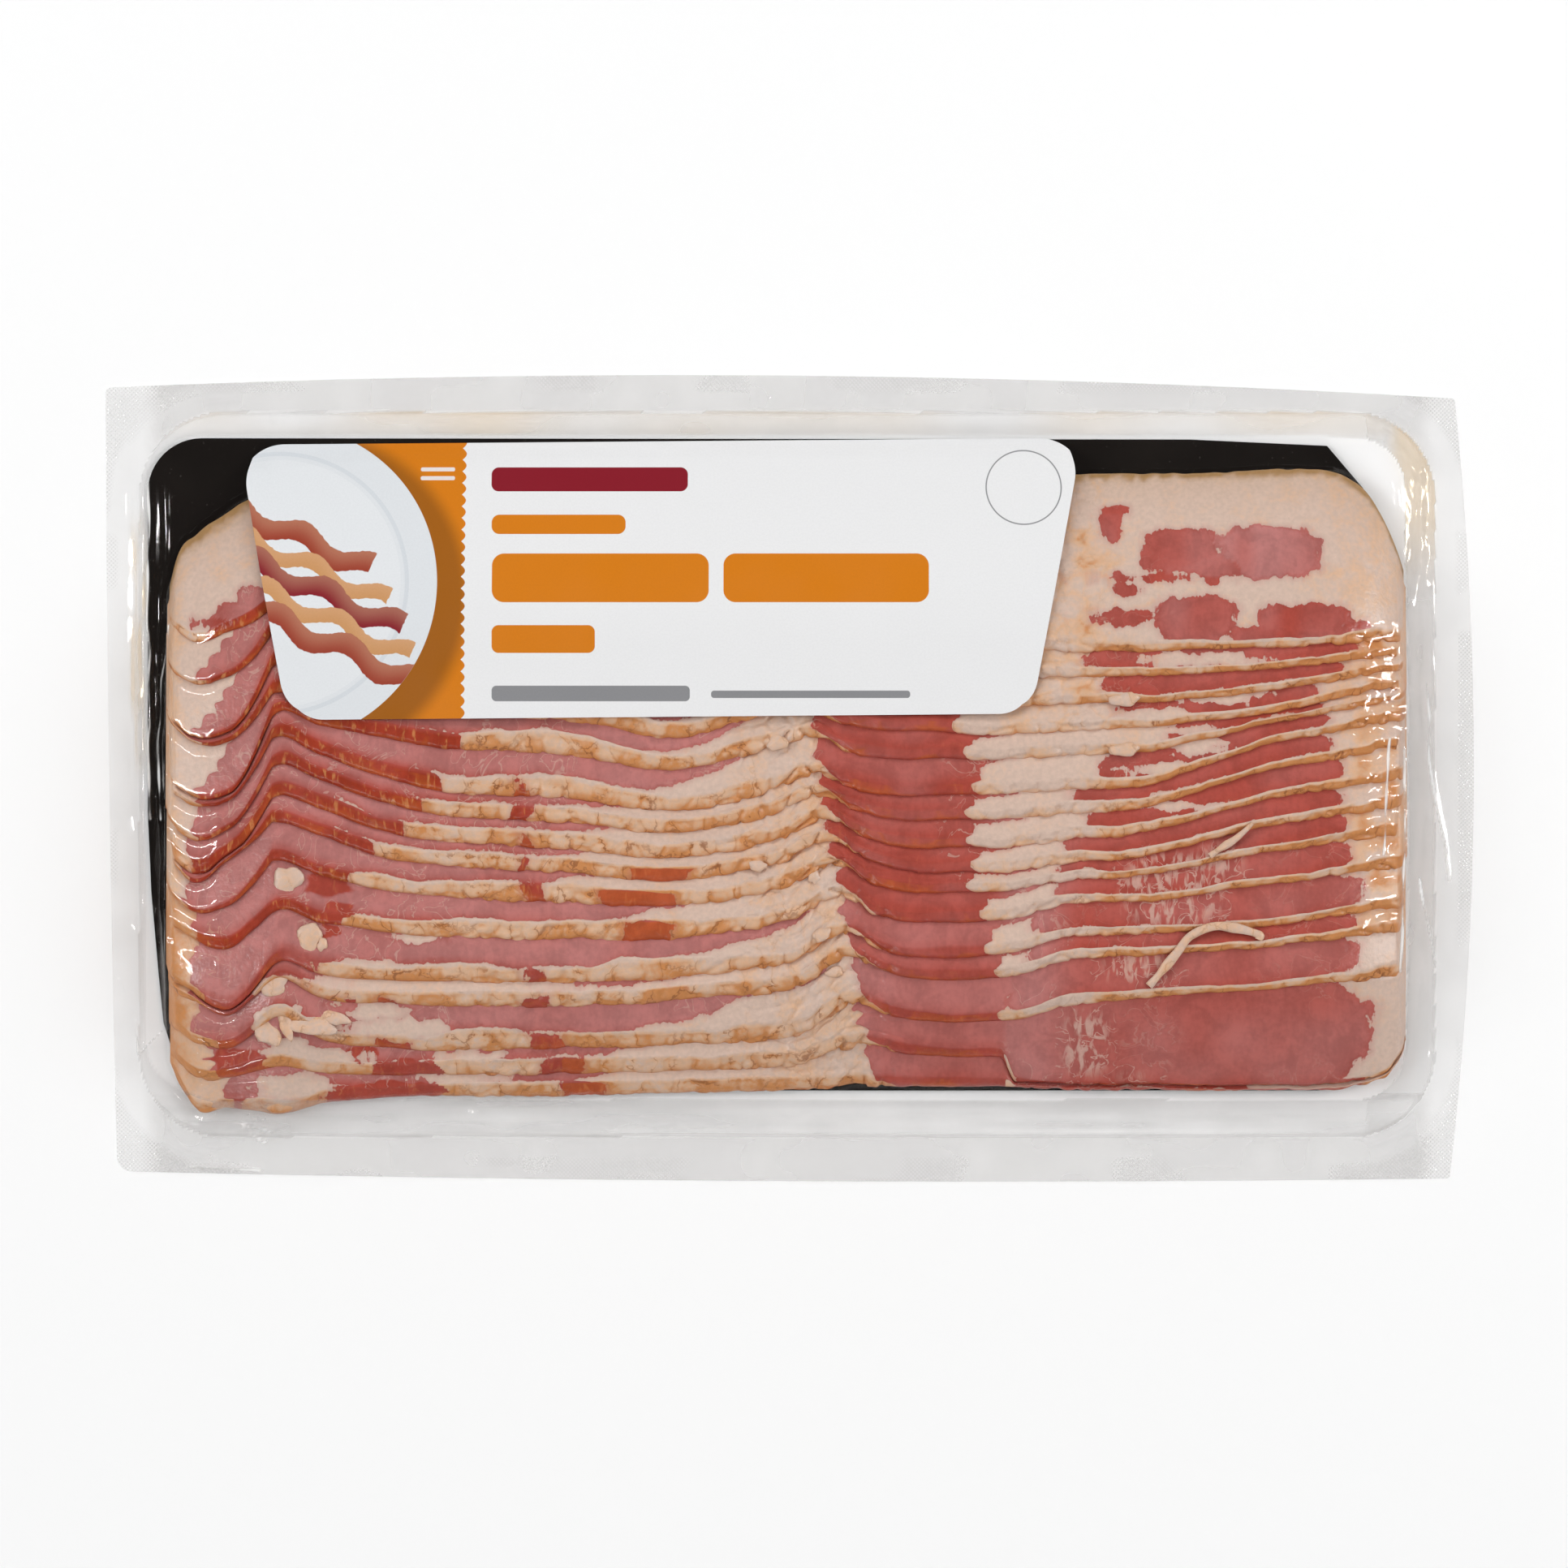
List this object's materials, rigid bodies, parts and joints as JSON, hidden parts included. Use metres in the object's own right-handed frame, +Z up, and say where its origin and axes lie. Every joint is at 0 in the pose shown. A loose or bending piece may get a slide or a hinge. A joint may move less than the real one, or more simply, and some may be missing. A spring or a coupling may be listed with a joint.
{
  "type": "sliced bacon pack",
  "caption": "Sealed clear vacuum pack of shingled raw bacon slices on a dark board, with a flat sealed rim and a paper label on its front.",
  "frame": {"origin": "centre of the sealed rim's outline, on the level back of the pack", "axes": "+X along the slices, from the smoked ends to the fat ends; +Y across them, from the slice laid first to the one laid last; +Z up, out of the shown front"},
  "size_m": [0.3034, 0.1788, 0.0184],
  "materials": {
    "sealed_pack": "clear film drawn tight over raw bacon",
    "front_label": "coated label paper, satin"
  },
  "bodies": {
    "root": {"sealed_pack": "sealed_pack", "front_label": "front_label"}
  },
  "joints": []
}
